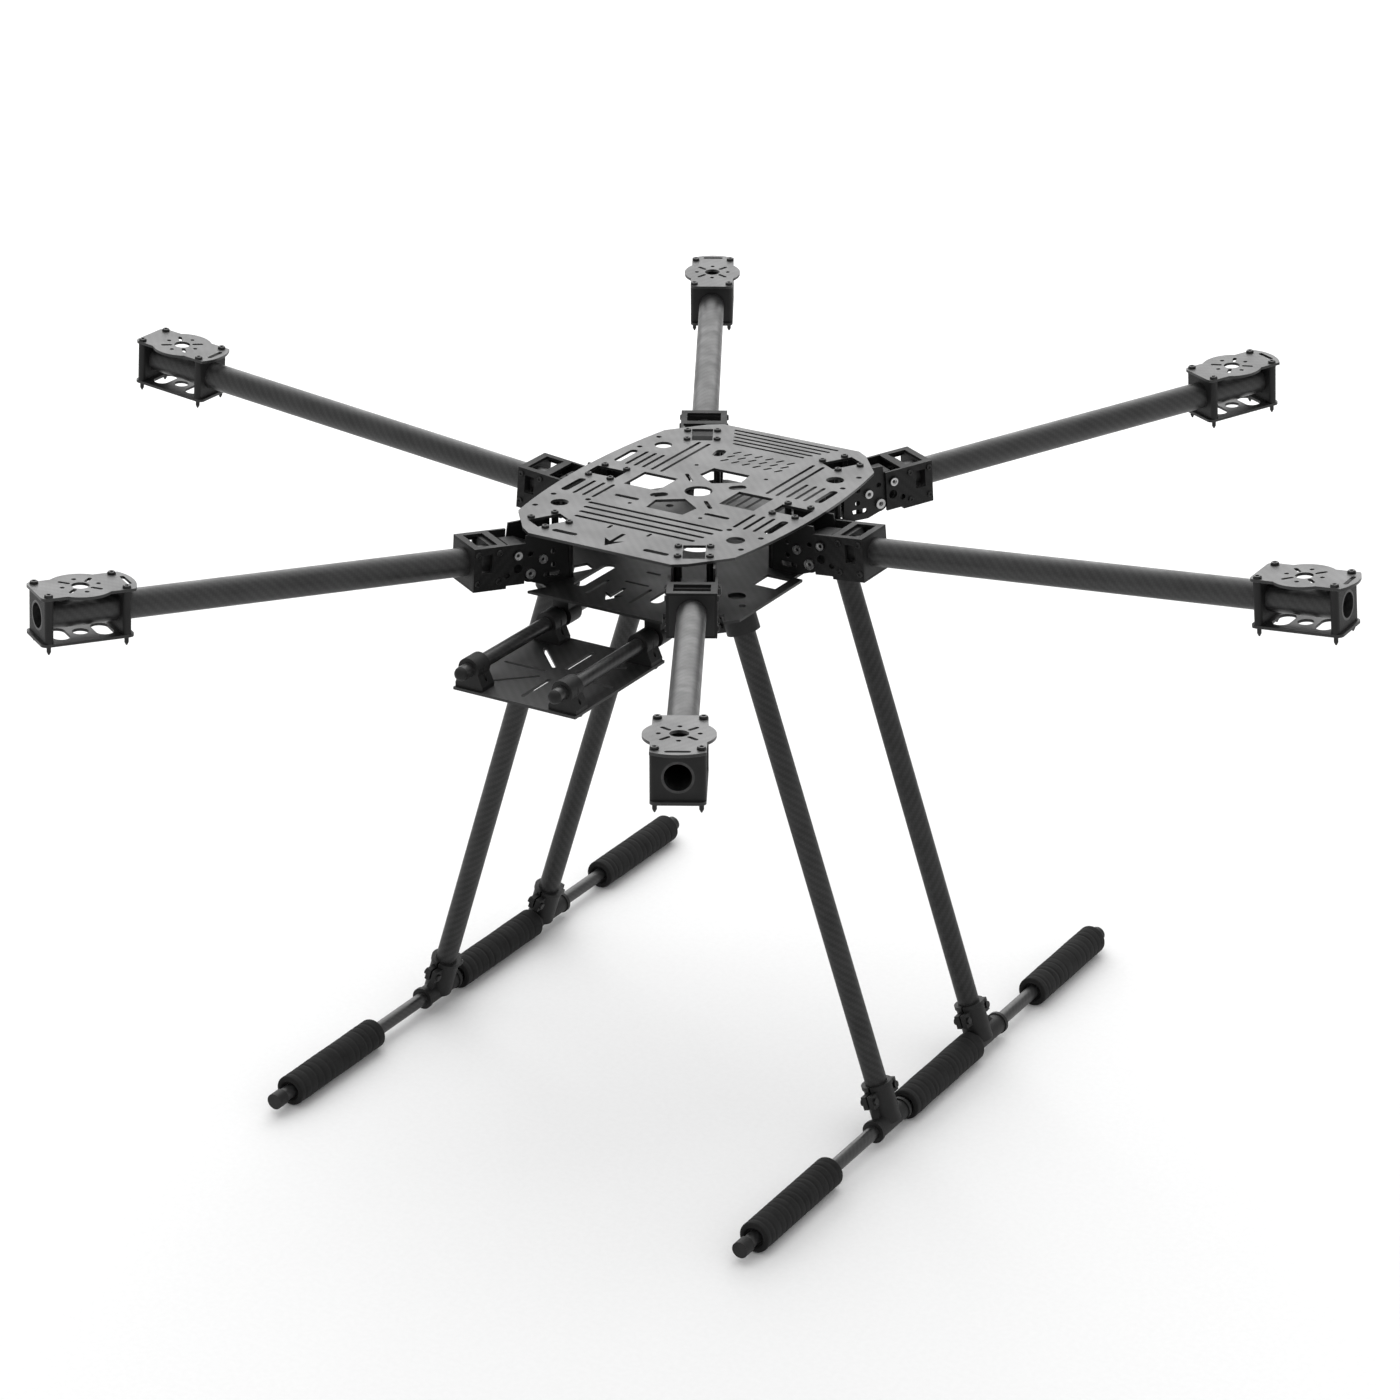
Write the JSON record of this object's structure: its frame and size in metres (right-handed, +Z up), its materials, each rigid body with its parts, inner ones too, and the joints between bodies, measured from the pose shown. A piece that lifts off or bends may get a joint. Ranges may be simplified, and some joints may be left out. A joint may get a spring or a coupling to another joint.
{
  "type": "folding hexacopter airframe",
  "caption": "Folding six-arm drone airframe with slotted deck plates, hinged tube arms, motor mounts, splayed landing legs with foam-sleeved skids and a sliding battery tray on rails.",
  "frame": {"origin": "on the floor under the middle of the airframe, between the six motor centres", "axes": "+Z up, +X to the left-hand side of the aircraft, nose towards -Y"},
  "size_m": [0.9921, 0.8702, 0.4669],
  "materials": {
    "deck_laminate": "satin laminate, mid grey",
    "mount_plate": "satin laminate, light grey",
    "dark_laminate": "satin laminate, near black",
    "carbon_tube": "twill weave under clear resin",
    "moulded_black": "fine moulded texture",
    "black_metal": "black anodised",
    "steel": "bright",
    "foam": "ribbed closed-cell foam"
  },
  "bodies": {
    "frame": {"top_plate": "deck_laminate", "bottom_plate": "dark_laminate", "plate_posts": "black_metal", "hinge_cheeks": "dark_laminate", "hinge_bolts": "steel", "frame_screws": "steel", "leg_sockets": "moulded_black", "leg_tubes": "carbon_tube", "leg_tees": "moulded_black", "skid_tubes": "carbon_tube", "skid_caps": "moulded_black", "foam_sleeves": "foam", "rail_hangers": "moulded_black"},
    "battery_rack": {"rail_tubes": "carbon_tube", "rail_collars": "moulded_black", "rail_plugs": "moulded_black", "battery_tray": "dark_laminate", "tray_screws": "steel"},
    "left_arm": {"left_tube": "carbon_tube", "left_hinge_lug": "moulded_black", "left_box_plates": "dark_laminate", "left_tube_clamps": "moulded_black", "left_motor_plate": "mount_plate", "left_mount_base": "dark_laminate", "left_screws": "steel"},
    "rear_left_arm": {"rear_left_tube": "carbon_tube", "rear_left_hinge_lug": "moulded_black", "rear_left_box_plates": "dark_laminate", "rear_left_tube_clamps": "moulded_black", "rear_left_motor_plate": "mount_plate", "rear_left_mount_base": "dark_laminate", "rear_left_screws": "steel"},
    "rear_right_arm": {"rear_right_tube": "carbon_tube", "rear_right_hinge_lug": "moulded_black", "rear_right_box_plates": "dark_laminate", "rear_right_tube_clamps": "moulded_black", "rear_right_motor_plate": "mount_plate", "rear_right_mount_base": "dark_laminate", "rear_right_screws": "steel"},
    "right_arm": {"right_tube": "carbon_tube", "right_hinge_lug": "moulded_black", "right_box_plates": "dark_laminate", "right_tube_clamps": "moulded_black", "right_motor_plate": "mount_plate", "right_mount_base": "dark_laminate", "right_screws": "steel"},
    "front_right_arm": {"front_right_tube": "carbon_tube", "front_right_hinge_lug": "moulded_black", "front_right_box_plates": "dark_laminate", "front_right_tube_clamps": "moulded_black", "front_right_motor_plate": "mount_plate", "front_right_mount_base": "dark_laminate", "front_right_screws": "steel"},
    "front_left_arm": {"front_left_tube": "carbon_tube", "front_left_hinge_lug": "moulded_black", "front_left_box_plates": "dark_laminate", "front_left_tube_clamps": "moulded_black", "front_left_motor_plate": "mount_plate", "front_left_mount_base": "dark_laminate", "front_left_screws": "steel"}
  },
  "joints": [
    {"name": "left_arm_fold", "type": "hinge", "parent": "frame", "child": "left_arm", "pos_m": [0.1, 0, 0.402], "axis": [0, 1, 0], "range_deg": [0, 90]},
    {"name": "rear_left_arm_fold", "type": "hinge", "parent": "frame", "child": "rear_left_arm", "pos_m": [0.0705, 0.12211, 0.402], "axis": [-0.866, 0.5, 0], "range_deg": [0, 90]},
    {"name": "rear_right_arm_fold", "type": "hinge", "parent": "frame", "child": "rear_right_arm", "pos_m": [-0.0705, 0.12211, 0.402], "axis": [-0.866, -0.5, 0], "range_deg": [0, 90]},
    {"name": "right_arm_fold", "type": "hinge", "parent": "frame", "child": "right_arm", "pos_m": [-0.1, 0, 0.402], "axis": [0, -1, 0], "range_deg": [0, 90]},
    {"name": "front_right_arm_fold", "type": "hinge", "parent": "frame", "child": "front_right_arm", "pos_m": [-0.0705, -0.12211, 0.402], "axis": [0.866, -0.5, 0], "range_deg": [0, 90]},
    {"name": "front_left_arm_fold", "type": "hinge", "parent": "frame", "child": "front_left_arm", "pos_m": [0.0705, -0.12211, 0.402], "axis": [0.866, 0.5, 0], "range_deg": [0, 90]},
    {"name": "battery_rack_slide", "type": "slide", "parent": "frame", "child": "battery_rack", "axis": [0, -1, 0], "range_m": [-0.004, 0.04]}
  ]
}
